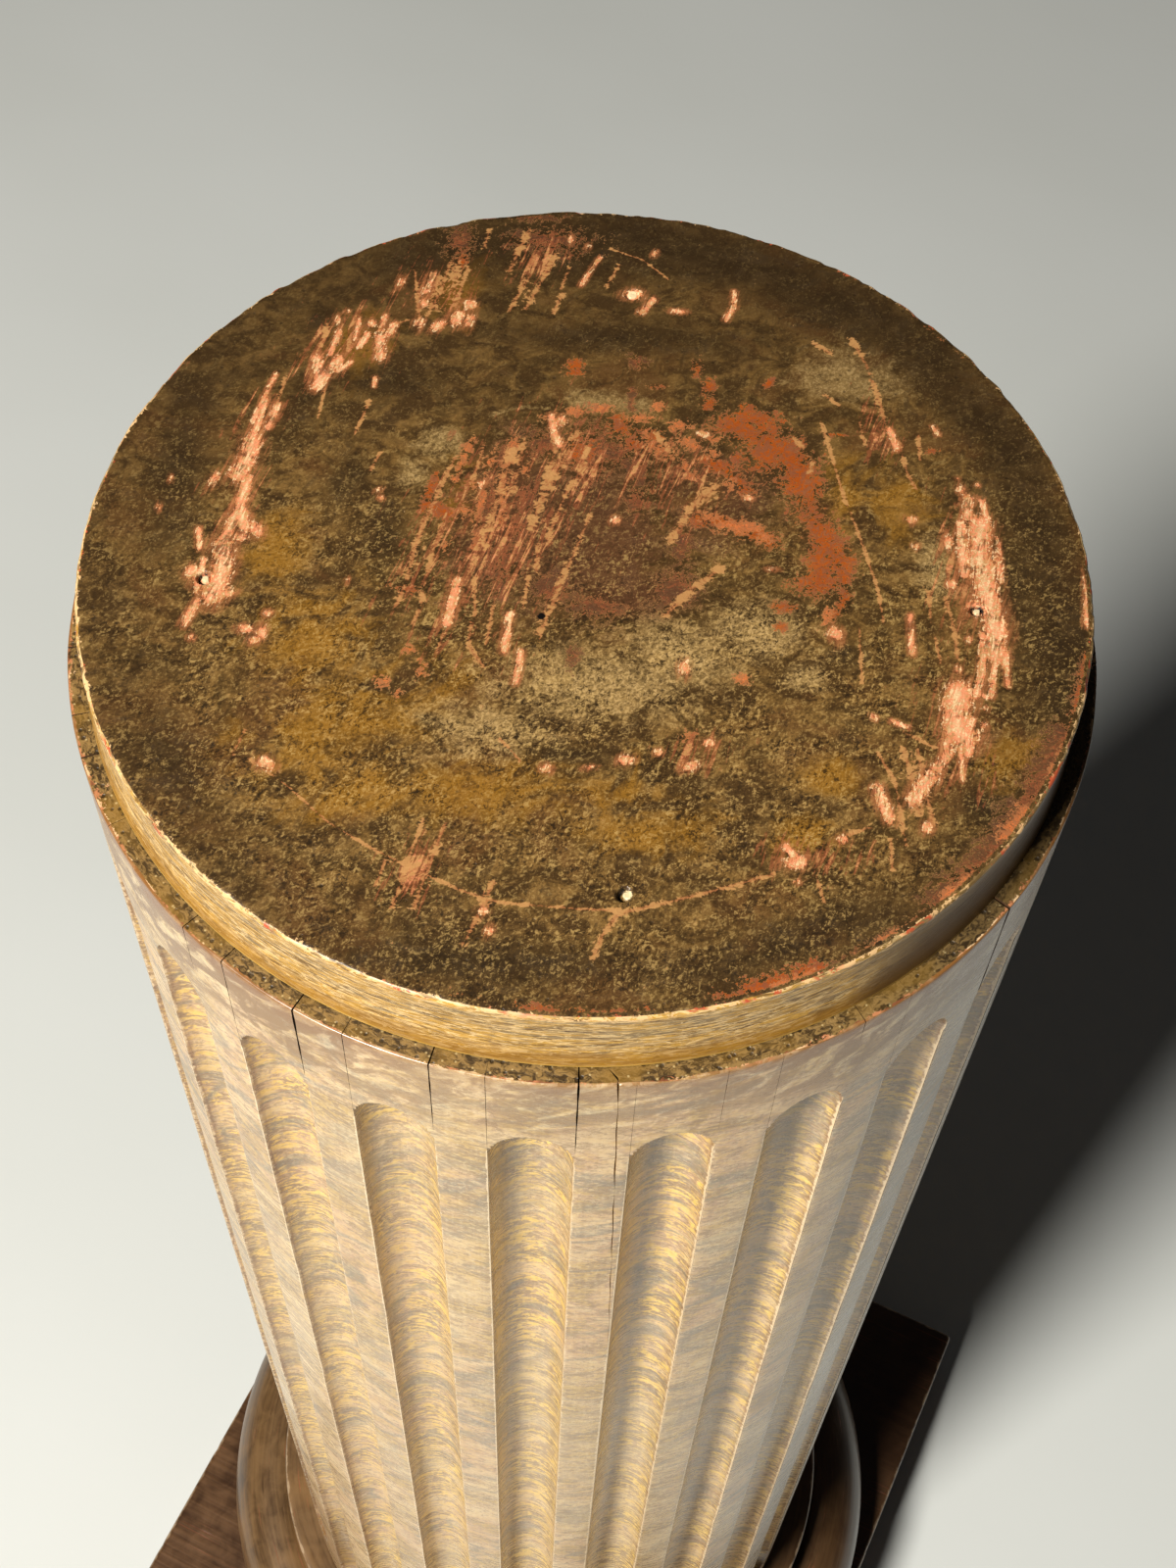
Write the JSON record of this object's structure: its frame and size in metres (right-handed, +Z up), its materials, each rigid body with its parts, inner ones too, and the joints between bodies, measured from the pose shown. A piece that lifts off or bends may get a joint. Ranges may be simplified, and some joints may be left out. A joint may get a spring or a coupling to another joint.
{
  "type": "fluted pedestal column",
  "caption": "Round fluted wooden pedestal column with stopped flutes, a recessed disc cap, a torus base and a square plinth, painted as marble over dark varnish.",
  "frame": {"origin": "middle of the plinth's underside", "axes": "+Z up along the column's axis, +X and +Y square to the plinth's sides"},
  "size_m": [0.43, 0.43, 1.0665],
  "materials": {
    "marble_paint": "oil paint in pale beige with grey veins and ochre clouds, as marble, satin and worn",
    "worn_varnish": "dark olive-brown varnish worn to a pink primer, side painted as marble",
    "dark_varnish": "dark brown varnish, satin, scratched"
  },
  "bodies": {
    "root": {"plinth": "dark_varnish", "round_base": "dark_varnish", "flute_stave_01": "marble_paint", "fillet_stave_01": "marble_paint", "flute_stave_02": "marble_paint", "fillet_stave_02": "marble_paint", "flute_stave_03": "marble_paint", "fillet_stave_03": "marble_paint", "flute_stave_04": "marble_paint", "fillet_stave_04": "marble_paint", "flute_stave_05": "marble_paint", "fillet_stave_05": "marble_paint", "flute_stave_06": "marble_paint", "fillet_stave_06": "marble_paint", "flute_stave_07": "marble_paint", "fillet_stave_07": "marble_paint", "flute_stave_08": "marble_paint", "fillet_stave_08": "marble_paint", "flute_stave_09": "marble_paint", "fillet_stave_09": "marble_paint", "flute_stave_10": "marble_paint", "fillet_stave_10": "marble_paint", "flute_stave_11": "marble_paint", "fillet_stave_11": "marble_paint", "flute_stave_12": "marble_paint", "fillet_stave_12": "marble_paint", "flute_stave_13": "marble_paint", "fillet_stave_13": "marble_paint", "flute_stave_14": "marble_paint", "fillet_stave_14": "marble_paint", "flute_stave_15": "marble_paint", "fillet_stave_15": "marble_paint", "flute_stave_16": "marble_paint", "fillet_stave_16": "marble_paint", "flute_stave_17": "marble_paint", "fillet_stave_17": "marble_paint", "flute_stave_18": "marble_paint", "fillet_stave_18": "marble_paint", "flute_stave_19": "marble_paint", "fillet_stave_19": "marble_paint", "flute_stave_20": "marble_paint", "fillet_stave_20": "marble_paint", "flute_stave_21": "marble_paint", "fillet_stave_21": "marble_paint", "flute_stave_22": "marble_paint", "fillet_stave_22": "marble_paint", "flute_stave_23": "marble_paint", "fillet_stave_23": "marble_paint", "flute_stave_24": "marble_paint", "fillet_stave_24": "marble_paint", "cap": "worn_varnish"}
  },
  "joints": []
}
